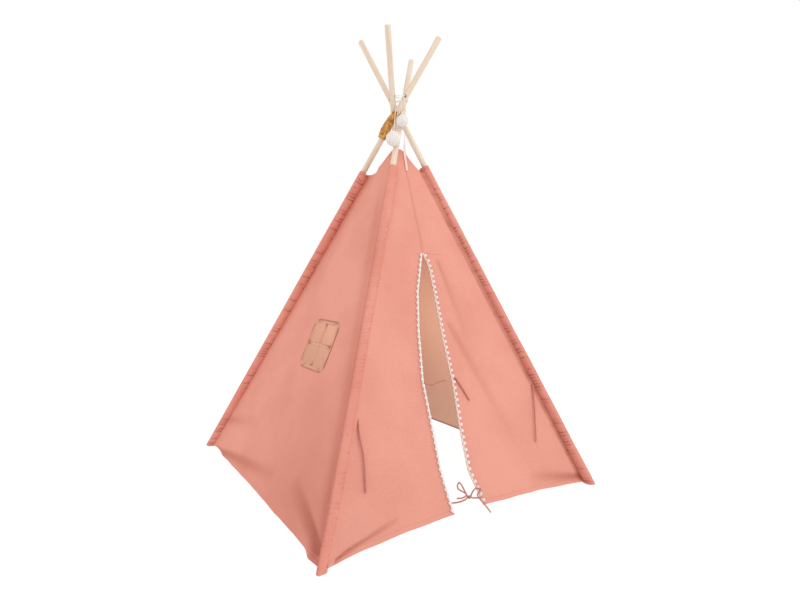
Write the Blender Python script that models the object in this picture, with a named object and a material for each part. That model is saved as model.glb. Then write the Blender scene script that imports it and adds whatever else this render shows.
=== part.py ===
"""Kids teepee: four poles that cross on a crown cord, a panelled cotton cover with a door, and its trim."""
import math

import bmesh
import bpy
from mathutils import Matrix, Vector

# Poles
base_side = 1.20
pole_length = 2.07
pole_diameter = 0.024
pole_foot_gap = 0.012
hole_from_top = 0.265
bare_length = 0.618
hole_reach = 0.036
pole_offset = 0.0185
hole_diameter = 0.0052
pole_end_round = 0.0015
pole_extras = {"front_left": 0, "front_right": 0.036, "back_right": 0, "back_left": 0.010}
round_steps = 24

# Joint between the two sections of a pole
tenon_length = 0.045
ferrule_wall = 0.0018

# Pole sleeves
sleeve_across = 0.046
sleeve_deep = 0.044
sleeve_wall = 0.0016
sleeve_pole_gap = 0.0006
pucker_depth = 0.0007
pucker_pitch = 0.080
sleeve_steps = 20
sleeve_clear_above_foot = 0.035
mouth_drops = {"front_left": 0.018, "front_right": -0.022, "back_right": 0, "back_left": 0.012}
foot_slack_shares = {"front_left": 1, "front_right": 1, "back_right": 1, "back_left": -1}
mouth_slack_share = -1

# Cover
apex_drop = 0.0177
hinge_above_apex = 0.053
cloth_thickness = 0.0016
hem_gap = 0.006
front_hem_height = 0.028
side_hem_height = 0.007
neck_drop = 0.239
top_dip_depth = 0.010
peak_height = 0.088
front_peak_shares = [(1, 0), (0.83, 0.02), (0.51, 0.89), (0.30, 1), (0, 0.90)]
left_peak_shares = [(1, 0.90), (0.65, 0.34), (0.36, -0.15), (0, -0.20)]
corner_inset = 0.0025
cloth_columns = 15
half_cloth_columns = 8
cloth_level_count = 21
hem_band_height = 0.065
top_band_height = 0.051

# Folds in the cloth, as shares of the half base and of the apex height
fold_height = 0.013
fold_half_width = 0.032
flap_belly_height = 0.006
front_fold_shares = [
    ((-0.93, 0.005), (-0.60, 0.060)),
    ((0.90, 0.010), (0.58, 0.055)),
    ((-0.10, 0.80), (-0.42, 0.45)),
]
left_fold_shares = [
    ((0.92, 0.012), (0.46, 0.085)),
    ((-0.85, 0.02), (-0.45, 0.13)),
    ((0.10, 0.80), (0.48, 0.42)),
]
right_fold_shares = [((-0.90, 0.015), (-0.42, 0.14)), ((0.88, 0.015), (0.50, 0.10))]
back_fold_shares = [((-0.90, 0.015), (-0.50, 0.10)), ((0.90, 0.015), (0.38, 0.16))]

# Door
slit_apex_drop = 0.352
slit_reach = 0.132
crease_start = 0.030
left_crease_reach = 0.47
right_crease_reach = 0.33
seam_blend = 0.004
flap_columns = 6
flap_level_count = 15
slit_left_shares = [
    (1, 0.03),
    (0.844, 0.485),
    (0.683, 0.803),
    (0.496, 1),
    (0.352, 0.985),
    (0.182, 0.977),
    (0, 0.8),
]
slit_right_shares = [
    (1, 0.01),
    (0.845, 0),
    (0.64, 0.053),
    (0.485, 0.03),
    (0.30, 0.114),
    (0.161, 0.121),
    (0, -0.26),
]

# Bobble lace
bobble_radius = 0.0045
bobble_pitch = 0.015
lace_tape_width = 0.008
lace_tape_thickness = 0.001
lace_inset = 0.0015
lace_end_gap = 0.020
lace_hem_gap = 0.008

# Window
window_across = 0.0885
window_width = 0.186
window_low = 0.468
window_high = 0.632
window_corner = 0.024
window_corner_steps = 5
binding_overlap = 0.010
binding_reveal = 0.006
cross_tape_width = 0.013
tape_thickness = 0.0014

# Crown
crown_cord_diameter = 0.0034
crown_knot_radius = 0.0055
crown_knot_along = -0.008
crown_bend = 0.005
crown_bend_steps = 5
upper_pompom_radius = 0.025
lower_pompom_radius = 0.031
pompom_cord_diameter = 0.002
upper_pompom_place = (0.0340, 0.0165, 1.664)
lower_pompom_place = (0.0426, -0.0055, 1.556)
upper_pompom_hang = -0.018
lower_pompom_hang = 0.0
ribbon_width = 0.009
ribbon_thickness = 0.0012
ribbon_route = [
    (-0.0055, -0.0467, 1.5851),
    (0.0060, -0.0492, 1.5300),
    (0.0080, -0.0470, 1.4780),
    (0.0040, -0.0510, 1.4100),
    (-0.0050, -0.0680, 1.3450),
    (-0.0110, -0.0925, 1.2900),
    (-0.0130, -0.1015, 1.2620),
]
wrap_low = 1.412
wrap_row_pitch = 0.0157
wrap_thickness = 0.0035
wrap_crumple = 0.0012
wrap_steps = 18
wrap_clearance = 0.0005
wrap_bulge = 0.014
wrap_middle_turn = math.radians(75)
wrap_spread_shares = [1, 1, 0.98, 0.95, 0.90, 0.82, 0.70, 0.55, 0.38]

# Ties, as places across the front, up it and lifted off it
tie_diameter = 0.005
knot_radius = 0.0062
knot_place = (-0.039, 0.071, 0.006)
bow_left_route = [
    (-0.1165, 0.0680, 0.0040),
    (-0.0800, 0.0650, 0.0045),
    (-0.0475, 0.0710, 0.0050),
    (-0.0560, 0.0930, 0.0090),
    (-0.0730, 0.1210, 0.0120),
    (-0.0870, 0.1060, 0.0140),
    (-0.0570, 0.0830, 0.0160),
    (-0.0780, 0.0760, 0.0190),
    (-0.1030, 0.0790, 0.0200),
]
bow_right_route = [
    (0.0158, 0.0600, 0.0040),
    (-0.0050, 0.0620, 0.0045),
    (-0.0305, 0.0700, 0.0050),
    (-0.0120, 0.0900, 0.0110),
    (0.0120, 0.0850, 0.0140),
    (-0.0100, 0.0700, 0.0170),
    (0.0120, 0.0400, 0.0170),
    (0.0360, 0.0100, 0.0130),
]
mid_left_route = [
    (-0.1350, 0.4430, 0.0040),
    (-0.1000, 0.4350, 0.0060),
    (-0.0700, 0.4420, 0.0090),
    (-0.0420, 0.4440, 0.0120),
]
mid_right_route = [
    (0.0125, 0.4500, 0.0029),
    (0.0330, 0.4150, 0.0045),
    (0.0580, 0.3680, 0.0042),
]
tie_back_left_route = [
    (-0.4180, 0.3700, 0.0028),
    (-0.4250, 0.3150, 0.0060),
    (-0.4220, 0.2500, 0.0070),
    (-0.4330, 0.1580, 0.0060),
]
tie_back_right_route = [
    (0.4170, 0.3930, 0.0028),
    (0.4000, 0.3320, 0.0060),
    (0.3600, 0.2090, 0.0070),
    (0.3520, 0.1880, 0.0060),
]

# Clearances
fit_gap = 0.0003
seam_gap = 0.0004
cut_overrun = 0.03

# Places that follow from the sizes above
pole_radius = pole_diameter / 2
half_base = base_side / 2
corner_radius = base_side / math.sqrt(2)
foot_turn = math.asin(pole_offset / corner_radius)
foot_reach = corner_radius * math.cos(foot_turn)
pole_top = pole_foot_gap + pole_length
pole_middle = pole_foot_gap + pole_length / 2
hole_along = pole_top - hole_from_top
lean = math.asin((foot_reach + hole_reach) / hole_along)
hole_height = hole_along * math.cos(lean)
mouth_along = pole_top - bare_length
cover_apex_height = foot_reach / math.tan(lean) - apex_drop
cover_hinge_height = cover_apex_height + hinge_above_apex
plain_top_height = cover_apex_height - neck_drop
slit_apex_height = plain_top_height - slit_apex_drop
cover_slope = math.atan(half_base / cover_apex_height)
tenon_radius = pole_radius - ferrule_wall - fit_gap
sleeve_slack = sleeve_deep / 2 - sleeve_wall - sleeve_pole_gap - pole_radius
pocket_floor = pole_foot_gap * math.cos(lean) - pole_radius * math.sin(lean) - fit_gap

corner_eighths = {"front_left": 5, "front_right": 7, "back_right": 1, "back_left": 3}
side_quarters = {"front": 0, "left": -1, "back": 2, "right": 1}

looks = {
    "pine": ((0.80, 0.62, 0.42), 0.55, 0.0),
    "steel": ((0.60, 0.60, 0.62), 0.35, 1.0),
    "cotton": ((0.78, 0.33, 0.26), 0.90, 0.0),
    "tie": ((0.62, 0.22, 0.17), 0.90, 0.0),
    "white": ((0.88, 0.84, 0.80), 0.90, 0.0),
    "mustard": ((0.60, 0.27, 0.04), 0.90, 0.0),
    "ribbon": ((0.86, 0.66, 0.62), 0.70, 0.0),
}


# Building blocks
def paint(piece, look):
    """Give a piece its own plain material."""
    colour, roughness, metallic = looks[look]
    material = bpy.data.materials.new(piece.name)
    material.use_nodes = True
    shader = material.node_tree.nodes["Principled BSDF"]
    shader.inputs["Base Color"].default_value = (*colour, 1)
    shader.inputs["Roughness"].default_value = roughness
    shader.inputs["Metallic"].default_value = metallic
    piece.data.materials.append(material)


def add_piece(name, data, look, pivot):
    """Link new data as an object that sits on its pivot."""
    piece = bpy.data.objects.new(name, data)
    piece.location = pivot
    bpy.context.collection.objects.link(piece)
    paint(piece, look)
    return piece


def smooth(mesh):
    """Shade a mesh smooth, with its sharp edges kept."""
    for polygon in mesh.polygons:
        polygon.use_smooth = True
    mesh.set_sharp_from_angle(angle=math.radians(40))


def add_solid(name, points, faces, look, pivot):
    """Make one closed solid from points in the world and its faces."""
    mesh = bpy.data.meshes.new(name)
    mesh.from_pydata([Vector(point) - Vector(pivot) for point in points], [], faces)
    work = bmesh.new()
    work.from_mesh(mesh)
    bmesh.ops.recalc_face_normals(work, faces=work.faces)
    work.to_mesh(mesh)
    work.free()
    smooth(mesh)
    return add_piece(name, mesh, look, pivot)


def ring_faces(rings, steps):
    """Faces that join rings of equal count, each ring to the next."""
    faces = []
    for ring in range(rings - 1):
        for step in range(steps):
            near = ring * steps + step
            after = ring * steps + (step + 1) % steps
            faces.append((near, after, after + steps, near + steps))
    return faces


def add_stack(name, rings, look, pivot):
    """Make a solid from a stack of rings, closed over the first and the last."""
    steps = len(rings[0])
    points = [point for ring in rings for point in ring]
    faces = ring_faces(len(rings), steps)
    faces.append(tuple(range(steps)))
    faces.append(tuple(range(len(points) - steps, len(points))))
    return add_solid(name, points, faces, look, pivot)


def add_tube(name, rings, look, pivot):
    """Make a solid from rings that run out along it and back through its bore."""
    steps = len(rings[0])
    points = [point for ring in rings for point in ring]
    faces = ring_faces(len(rings), steps)
    last = len(points) - steps
    for step in range(steps):
        after = (step + 1) % steps
        faces.append((last + step, last + after, after, step))
    return add_solid(name, points, faces, look, pivot)


def circle(frame, radius, along, steps):
    """A ring of points about a frame's long axis."""
    turns = [2 * math.pi * step / steps for step in range(steps)]
    return [frame @ Vector((radius * math.cos(turn), radius * math.sin(turn), along)) for turn in turns]


def frame_on(start, along):
    """A frame at a point whose long axis looks along a direction."""
    frame = Vector(along).to_track_quat("Z", "Y").to_matrix().to_4x4()
    frame.translation = Vector(start)
    return frame


def add_cutter(name, rings):
    """Make a solid that only cuts other solids."""
    cutter = add_stack(name, rings, "steel", Vector((0, 0, 0)))
    cutter.hide_render = True
    cutter.display_type = "WIRE"
    return cutter


def combine(piece, other, operation):
    """Cut or join one solid with another."""
    step = piece.modifiers.new(other.name, "BOOLEAN")
    step.operation = operation
    step.solver = "EXACT"
    step.object = other


def add_ball(name, centre, radius, look, pivot, columns, rows):
    """Make a round ball with single points at its poles."""
    work = bmesh.new()
    place = Matrix.Translation(Vector(centre) - Vector(pivot))
    bmesh.ops.create_uvsphere(work, u_segments=columns, v_segments=rows, radius=radius, matrix=place)
    mesh = bpy.data.meshes.new(name)
    work.to_mesh(mesh)
    work.free()
    smooth(mesh)
    return add_piece(name, mesh, look, pivot)


def smooth_route(route, spacing):
    """Points of an even spacing on a smooth curve through a route."""
    stops = [Vector(stop) for stop in route]
    ends = [stops[0] * 2 - stops[1], *stops, stops[-1] * 2 - stops[-2]]
    path = [stops[0]]
    for leg in range(len(stops) - 1):
        before, start, finish, after = ends[leg:leg + 4]
        count = max(2, round((finish - start).length / spacing))
        for step in range(1, count + 1):
            t = step / count
            bend = (finish - before) * t + (before * 2 - start * 5 + finish * 4 - after) * t ** 2
            path.append(start + (bend + (start * 3 - before - finish * 3 + after) * t ** 3) / 2)
    return path


def add_cord(name, route, diameter, look, pivot, closed=False):
    """Make a round cord along a smooth curve through its route."""
    path = route if closed or len(route) == 2 else smooth_route(route, diameter * 2.5)
    curve = bpy.data.curves.new(name, "CURVE")
    curve.dimensions = "3D"
    curve.bevel_depth = diameter / 2
    curve.bevel_resolution = 2
    curve.use_fill_caps = True
    curve.render_resolution_u = 0
    spline = curve.splines.new("POLY")
    spline.points.add(len(path) - 1)
    for point, stop in zip(spline.points, path):
        point.co = (*(Vector(stop) - Vector(pivot)), 1)
    spline.use_cyclic_u = closed
    return add_piece(name, curve, look, pivot)


def add_strap(name, path, widthways, width, thickness, look, pivot):
    """Make a flat strap along a path, with its width one way all along."""
    rings = []
    for index, stop in enumerate(path):
        ahead = path[min(index + 1, len(path) - 1)] - path[max(index - 1, 0)]
        side = (widthways - ahead * (widthways.dot(ahead) / ahead.length_squared)).normalized()
        face = ahead.cross(side).normalized()
        corners = [(-1, -1), (1, -1), (1, 1), (-1, 1)]
        rings.append([stop + side * (width / 2 * a) + face * (thickness / 2 * b) for a, b in corners])
    return add_stack(name, rings, look, pivot)


# Places on the frame and on the cover
def pole_frame(corner):
    """Frame on a pole: its long axis up the pole, its first axis outward, from the floor."""
    turn = corner_eighths[corner] * math.pi / 4
    corner_way = Vector((math.cos(turn), math.sin(turn), 0))
    outward = Matrix.Rotation(-foot_turn, 3, "Z") @ corner_way
    sideways = Vector((-outward.y, outward.x, 0))
    up = outward * -math.sin(lean) + Vector((0, 0, math.cos(lean)))
    frame = Matrix((sideways.cross(up), sideways, up)).transposed().to_4x4()
    frame.translation = corner_way * corner_radius
    return frame


def hole_of(corner):
    """Middle of a pole's cord hole."""
    return pole_frame(corner) @ Vector((0, 0, hole_along))


def half_width(height):
    """Half of the cover's width at a height."""
    return half_base * (1 - height / cover_apex_height)


def on_side(side, across, height, lift):
    """Place on one side of the cover, lifted off its outer face."""
    depth = half_width(height) + lift * math.cos(cover_slope)
    place = Vector((across, -depth, height + lift * math.sin(cover_slope)))
    return Matrix.Rotation(side_quarters[side] * math.pi / 2, 3, "Z") @ place


def blend(low, high, share):
    """Value between two others."""
    return low + (high - low) * share


def read_shares(table, share):
    """Value of a falling share table at one share."""
    for (above, first), (below, second) in zip(table, table[1:]):
        if share >= below:
            return blend(second, first, (share - below) / (above - below))
    return table[-1][1]


def slit_left(height):
    """Left edge of the door slit at a height."""
    return -slit_reach * read_shares(slit_left_shares, height / slit_apex_height)


def slit_right(height):
    """Right edge of the door slit at a height."""
    return -slit_reach * read_shares(slit_right_shares, height / slit_apex_height)


def crease(reach, height):
    """Distance of a door crease from the middle at a height."""
    return blend(reach, crease_start, height / slit_apex_height)


def seam_or_crease(reach, height):
    """Edge of a front panel: the crease beside the door, the middle seam above it."""
    share = (height - slit_apex_height) / seam_blend
    return blend(crease(reach, height), 0, min(max(share, 0), 1))


def corner_line(height):
    """Edge of a panel inside a sleeve at a height."""
    return half_width(height) - corner_inset


# Cloth
def hem_height(side, across):
    """Height of the bottom hem: low at the corners, arched between them."""
    rise = front_hem_height if side == "front" else side_hem_height
    return hem_gap + rise * (1 - (across / half_base) ** 2)


def top_height(side, across, height):
    """Height of the top hem, which climbs to a peak behind the front left pole."""
    share = (across / half_width(height) + 1) / 2
    if side == "front":
        return plain_top_height + peak_height * read_shares(front_peak_shares, share)
    if side == "left":
        return plain_top_height + peak_height * read_shares(left_peak_shares, share)
    return plain_top_height - top_dip_depth * 4 * share * (1 - share)


def fold_lift(fold_shares, across, height):
    """Lift of the cloth by its folds at one place."""
    place = Vector((across, height))
    lift = 0
    for start_share, finish_share in fold_shares:
        start = Vector((start_share[0] * half_base, start_share[1] * cover_apex_height))
        finish = Vector((finish_share[0] * half_base, finish_share[1] * cover_apex_height))
        line = finish - start
        share = min(max((place - start).dot(line) / line.length_squared, 0), 1)
        away = (place - start - line * share).length / fold_half_width
        lift += fold_height * math.exp(-away ** 2)
    return lift


def faded(distance):
    """Share of a fold left at a distance from a line that stays flat."""
    share = min(max(distance / fold_half_width - 1, 0), 1)
    return share * share * (3 - 2 * share)


def panel_lift(side, fold_shares, across, height):
    """Lift of a panel, flat along the door creases and round the window."""
    lift = fold_lift(fold_shares, across, height)
    if side == "front" and height < slit_apex_height + fold_half_width:
        lift *= faded(abs(across + crease(left_crease_reach, height)))
        lift *= faded(abs(across - crease(right_crease_reach, height)))
    if side == "left":
        beside = abs(across - window_across) - window_width / 2
        above = abs(height - (window_low + window_high) / 2) - (window_high - window_low) / 2
        lift *= faded(max(beside, above))
    return lift


def cloth_rows(side, edges, levels, columns, lift_at, top_at):
    """Rows of places across, up and off one side, from the hem to the top."""
    left_edge, right_edge = edges
    rows = []
    for index in range(len(levels) + 2):
        row = []
        for column in range(columns + 1):
            height = levels[min(max(index - 1, 0), len(levels) - 1)]
            across = blend(left_edge(height), right_edge(height), column / columns)
            for settle in range(8):
                if index == 0:
                    height = hem_height(side, across)
                if index == len(levels) + 1:
                    height = top_at(across, height)
                across = blend(left_edge(height), right_edge(height), column / columns)
            row.append((across, height, lift_at(across, height)))
        rows.append(row)
    return rows


def add_plate(name, outer_rows, inner_rows, look, pivot):
    """Make a thin solid between two grids of places."""
    columns = len(outer_rows[0])
    points = [point for rows in (outer_rows, inner_rows) for row in rows for point in row]
    count = columns * len(outer_rows)
    faces = []
    for level in range(len(outer_rows) - 1):
        start = level * columns
        end = start + columns - 1
        for a in range(start, end):
            b = a + columns
            faces.append((a, a + 1, b + 1, b))
            faces.append((count + a, count + b, count + b + 1, count + a + 1))
        faces.append((start, start + columns, count + start + columns, count + start))
        faces.append((end + columns, end, count + end, count + end + columns))
    for a in range(columns - 1):
        last = count - columns + a
        faces.append((a + 1, a, count + a, count + a + 1))
        faces.append((last, last + 1, count + last + 1, count + last))
    return add_solid(name, points, faces, look, pivot)


def add_cloth(name, side, rows, pivot):
    """Make one sheet of cloth from its rows."""
    outer_rows = [[on_side(side, *place) for place in row] for row in rows]
    inner_rows = []
    for row in rows:
        sunk = [(across, height, lift - cloth_thickness) for across, height, lift in row]
        inner_rows.append([on_side(side, *place) for place in sunk])
    return add_plate(name, outer_rows, inner_rows, "cotton", pivot)


def spread(low, high, count):
    """Even heights from low to high."""
    return [blend(low, high, index / (count - 1)) for index in range(count)]


def fold_pivot(side):
    """Point of a cover side's fold axis: above the apex, just past the middle."""
    return on_side(side, 0, cover_hinge_height, 0)


def cut_corners(piece, corners):
    """Trim a panel where two sleeves hold it."""
    for corner in corners:
        combine(piece, cutters[corner], "DIFFERENCE")


def rounded_window(side, margin, lift):
    """Ring of points round the window, set out from its edge by a margin."""
    middle_up = (window_low + window_high) / 2
    reach_across = window_width / 2 + margin
    reach_up = (window_high - window_low) / 2 + margin
    bend = window_corner + margin
    ring = []
    for quarter, (a, b) in enumerate([(1, 1), (-1, 1), (-1, -1), (1, -1)]):
        for step in range(window_corner_steps + 1):
            turn = (quarter + step / window_corner_steps) * math.pi / 2
            across = window_across + a * (reach_across - bend) + bend * math.cos(turn)
            height = middle_up + b * (reach_up - bend) + bend * math.sin(turn)
            ring.append(on_side(side, across, height, lift))
    return ring


# Start from an empty file
for old in list(bpy.data.objects):
    bpy.data.objects.remove(old)

crown_pivot = Vector((0, 0, hole_height))

# Poles: two turned sections and the tube that joins them
for corner in corner_eighths:
    frame = pole_frame(corner)
    pivot = hole_of(corner)
    shoulder = tenon_length + fit_gap
    top = pole_top + pole_extras[corner]
    lower_profile = [
        (pole_radius - pole_end_round, pole_foot_gap),
        (pole_radius, pole_foot_gap + pole_end_round),
        (pole_radius, pole_middle - shoulder),
        (tenon_radius, pole_middle - shoulder),
        (tenon_radius, pole_middle - fit_gap / 2),
    ]
    upper_profile = [
        (tenon_radius, pole_middle + fit_gap / 2),
        (tenon_radius, pole_middle + shoulder),
        (pole_radius, pole_middle + shoulder),
        (pole_radius, top - pole_end_round),
        (pole_radius - pole_end_round, top),
    ]
    bore = pole_radius - ferrule_wall
    ferrule_profile = [
        (pole_radius, pole_middle - tenon_length),
        (pole_radius, pole_middle + tenon_length),
        (bore, pole_middle + tenon_length),
        (bore, pole_middle - tenon_length),
    ]
    lower_rings = [circle(frame, radius, along, round_steps) for radius, along in lower_profile]
    upper_rings = [circle(frame, radius, along, round_steps) for radius, along in upper_profile]
    ferrule_rings = [circle(frame, radius, along, round_steps) for radius, along in ferrule_profile]
    add_stack("pole_" + corner + "_lower", lower_rings, "pine", pivot)
    upper = add_stack("pole_" + corner + "_upper", upper_rings, "pine", pivot)
    add_tube("ferrule_" + corner, ferrule_rings, "steel", pivot)
    drill_frame = frame_on(pivot, frame.to_3x3().col[1])
    drill_reach = pole_radius + cut_overrun
    drill_ends = (-drill_reach, drill_reach)
    drill_rings = [circle(drill_frame, hole_diameter / 2, along, round_steps) for along in drill_ends]
    combine(upper, add_cutter("drill_" + corner, drill_rings), "DIFFERENCE")


# Sleeves: oval cloth tubes with a closed foot pocket that stands flat
def mouth_of(corner):
    """Distance of a sleeve's mouth along its pole."""
    return mouth_along - mouth_drops[corner]


def sleeve_shift(corner, along):
    """How far a sleeve's middle stands outward of its pole, as the cover pulls it."""
    share = along / mouth_of(corner)
    return sleeve_slack * blend(foot_slack_shares[corner], mouth_slack_share, share)


def oval(corner, wall, along, shrink=0):
    """Ring of a sleeve, drawn in by its wall and its puckers."""
    frame = pole_frame(corner)
    ring = []
    for step in range(sleeve_steps):
        turn = 2 * math.pi * step / sleeve_steps
        dent = wall + shrink * (0.5 + 0.5 * math.sin(3 * turn + along / pucker_pitch))
        out = sleeve_shift(corner, along) + (sleeve_deep / 2 - dent) * math.cos(turn)
        ring.append(frame @ Vector((out, (sleeve_across / 2 - dent) * math.sin(turn), along)))
    return ring


def oval_at_height(corner, wall, height):
    """Ring of a sleeve where it meets a level plane near the floor."""
    frame = pole_frame(corner)
    ring = []
    for step in range(sleeve_steps):
        turn = 2 * math.pi * step / sleeve_steps
        out = sleeve_shift(corner, 0) + (sleeve_deep / 2 - wall) * math.cos(turn)
        along = (height - out * math.sin(lean)) / math.cos(lean)
        ring.append(frame @ Vector((out, (sleeve_across / 2 - wall) * math.sin(turn), along)))
    return ring


cutters = {}
for corner in corner_eighths:
    mouth = mouth_of(corner)
    run = mouth - sleeve_clear_above_foot
    count = round(run / pucker_pitch)
    rings = [oval_at_height(corner, 0, 0), oval(corner, 0, sleeve_clear_above_foot)]
    for index in range(1, count):
        along = sleeve_clear_above_foot + run * index / count
        rings.append(oval(corner, 0, along, pucker_depth * (index % 2)))
    rings.append(oval(corner, 0, mouth))
    rings.append(oval(corner, sleeve_wall, mouth))
    rings.append(oval_at_height(corner, sleeve_wall, pocket_floor))
    add_stack("sleeve_" + corner, rings, "cotton", hole_of(corner))
    cutters[corner] = add_cutter(
        "cut_sleeve_" + corner,
        [oval(corner, -seam_gap, -cut_overrun), oval(corner, -seam_gap, mouth + seam_gap)],
    )

# Cover: two front panels that meet at the middle seam, and three whole ones
levels = spread(hem_band_height, plain_top_height - top_band_height, cloth_level_count)
door_levels = [level for level in levels if abs(level - slit_apex_height) > fold_half_width / 2]
door_levels = sorted([*door_levels, slit_apex_height, slit_apex_height + seam_blend])


def front_lift(across, height):
    """Lift of the front panels."""
    return panel_lift("front", front_fold_shares, across, height)


def front_top(across, height):
    """Top hem of the front panels."""
    return top_height("front", across, height)


left_front_edges = (
    lambda height: -corner_line(height),
    lambda height: -seam_or_crease(left_crease_reach, height) - seam_gap / 2,
)
right_front_edges = (
    lambda height: seam_or_crease(right_crease_reach, height) + seam_gap / 2,
    corner_line,
)
rows = cloth_rows("front", left_front_edges, door_levels, half_cloth_columns, front_lift, front_top)
front_left = add_cloth("panel_front_left", "front", rows, fold_pivot("front"))
cut_corners(front_left, ["front_left"])
rows = cloth_rows("front", right_front_edges, door_levels, half_cloth_columns, front_lift, front_top)
front_right = add_cloth("panel_front_right", "front", rows, fold_pivot("front"))
cut_corners(front_right, ["front_right"])

whole_panels = {
    "left": (left_fold_shares, ["back_left", "front_left"]),
    "back": (back_fold_shares, ["back_right", "back_left"]),
    "right": (right_fold_shares, ["front_right", "back_right"]),
}
panels = {}
for side, (fold_shares, corners) in whole_panels.items():
    rows = cloth_rows(
        side,
        (lambda height: -corner_line(height), corner_line),
        levels,
        cloth_columns,
        lambda across, height: panel_lift(side, fold_shares, across, height),
        lambda across, height: top_height(side, across, height),
    )
    panels[side] = add_cloth("panel_" + side, side, rows, fold_pivot(side))
    cut_corners(panels[side], corners)

# Window: an opening in the left panel, its binding and two crossed tapes
window_cut = add_cutter(
    "cut_window",
    [rounded_window("left", 0, -cut_overrun), rounded_window("left", 0, cut_overrun)],
)
combine(panels["left"], window_cut, "DIFFERENCE")
tape_low = fit_gap
tape_high = fit_gap + tape_thickness
binding_rings = [
    rounded_window("left", binding_overlap, tape_low),
    rounded_window("left", binding_overlap, tape_high),
    rounded_window("left", -binding_reveal, tape_high),
    rounded_window("left", -binding_reveal, tape_low),
]
binding = add_tube("window_binding", binding_rings, "cotton", fold_pivot("left"))
tape_lift = (tape_low + tape_high) / 2
window_middle = (window_low + window_high) / 2
window_left = window_across - window_width / 2
window_right = window_across + window_width / 2
cross_ends = {
    "tape_across": ((window_left, window_middle), (window_right, window_middle)),
    "tape_upright": ((window_across, window_low), (window_across, window_high)),
}
for name, ends in cross_ends.items():
    path = [on_side("left", across, height, tape_lift) for across, height in ends]
    widthways = Vector((0, 0, 1)) if name == "tape_across" else Vector((0, 1, 0))
    tape = add_strap(name, path, widthways, cross_tape_width, tape_thickness, "cotton", fold_pivot("left"))
    tape.hide_render = True
    tape.display_type = "WIRE"
    combine(binding, tape, "UNION")


# Door: a flap on each side of the slit, hinged along its crease
def flap_lift(left_edge, right_edge, across, height):
    """Lift of a flap, flat along both of its edges."""
    width = right_edge(height) - left_edge(height)
    share = min(max((across - left_edge(height)) / width, 0), 1)
    return flap_belly_height * math.sin(math.pi * share) ** 4 * (width / right_crease_reach) ** 3


flap_edges = {
    "left": (
        lambda height: -crease(left_crease_reach, height) + seam_gap / 2,
        slit_left,
    ),
    "right": (
        slit_right,
        lambda height: crease(right_crease_reach, height) - seam_gap / 2,
    ),
}
flap_top = slit_apex_height - seam_gap
flap_levels = spread(hem_band_height, flap_top - hem_band_height, flap_level_count)
crease_reaches = {"left": -left_crease_reach, "right": right_crease_reach}
crease_starts = {"left": -crease_start, "right": crease_start}
flap_pivots = {}
for hand, edges in flap_edges.items():
    flap_pivots[hand] = on_side("front", crease_starts[hand], slit_apex_height, 0)
    rows = cloth_rows(
        "front",
        edges,
        flap_levels,
        flap_columns,
        lambda across, height: flap_lift(*edges, across, height),
        lambda across, height: flap_top,
    )
    add_cloth("door_flap_" + hand, "front", rows, flap_pivots[hand])

# Bobble lace along both slit edges
lace_edges = {"left": (slit_left, -1), "right": (slit_right, 1)}
for hand, (edge, away) in lace_edges.items():
    low = hem_height("front", edge(hem_gap)) + lace_hem_gap
    high = slit_apex_height - lace_end_gap
    count = round((high - low) / bobble_pitch)
    heights = spread(low, high, count + 1)
    inset = away * (lace_inset + lace_tape_width / 2)
    tape_middle = fit_gap + lace_tape_thickness / 2
    bends = spread(low, high, count // 3)
    path = [on_side("front", edge(height) + inset, height, tape_middle) for height in bends]
    lace = add_strap(
        "lace_" + hand,
        path,
        Vector((1, 0, 0)),
        lace_tape_width,
        lace_tape_thickness,
        "white",
        flap_pivots[hand],
    )
    work = bmesh.new()
    bobble_inset = away * (lace_inset + lace_tape_width - lace_tape_thickness)
    for below, above in zip(heights, heights[1:]):
        height = (below + above) / 2
        centre = on_side("front", edge(height) + bobble_inset, height, fit_gap + bobble_radius)
        place = Matrix.Translation(centre - flap_pivots[hand])
        bmesh.ops.create_icosphere(work, subdivisions=1, radius=bobble_radius, matrix=place)
    mesh = bpy.data.meshes.new("bobbles_" + hand)
    work.to_mesh(mesh)
    work.free()
    bobbles = add_piece("bobbles_" + hand, mesh, "white", flap_pivots[hand])
    bobbles.hide_render = True
    bobbles.display_type = "WIRE"
    combine(lace, bobbles, "UNION")


# Ties: a bow at the foot of the slit, a pair half way up, and two tie-backs at the corners
def front_route(route):
    """World places of a route on the front."""
    return [on_side("front", across, height, lift) for across, height, lift in route]


add_cord("bottom_tie_left", front_route(bow_left_route), tie_diameter, "tie", flap_pivots["left"])
add_cord("bottom_tie_right", front_route(bow_right_route), tie_diameter, "tie", flap_pivots["right"])
add_ball("bow_knot", on_side("front", *knot_place), knot_radius, "tie", flap_pivots["right"], 12, 8)
add_cord("mid_tie_left", front_route(mid_left_route), tie_diameter, "tie", flap_pivots["left"])
add_cord("mid_tie_right", front_route(mid_right_route), tie_diameter, "tie", flap_pivots["right"])
add_cord("tie_back_left", front_route(tie_back_left_route), tie_diameter, "tie", hole_of("front_left"))
add_cord("tie_back_right", front_route(tie_back_right_route), tie_diameter, "tie", hole_of("front_right"))


# Crown: the cord through the four holes, its knot, two pompoms, a ribbon and a cloth wrap
def on_crown(corner, along):
    """Place on the straight run of the crown cord through one pole's hole."""
    return hole_of(corner) + pole_frame(corner).to_3x3().col[1] * (along - pole_offset)


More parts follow.
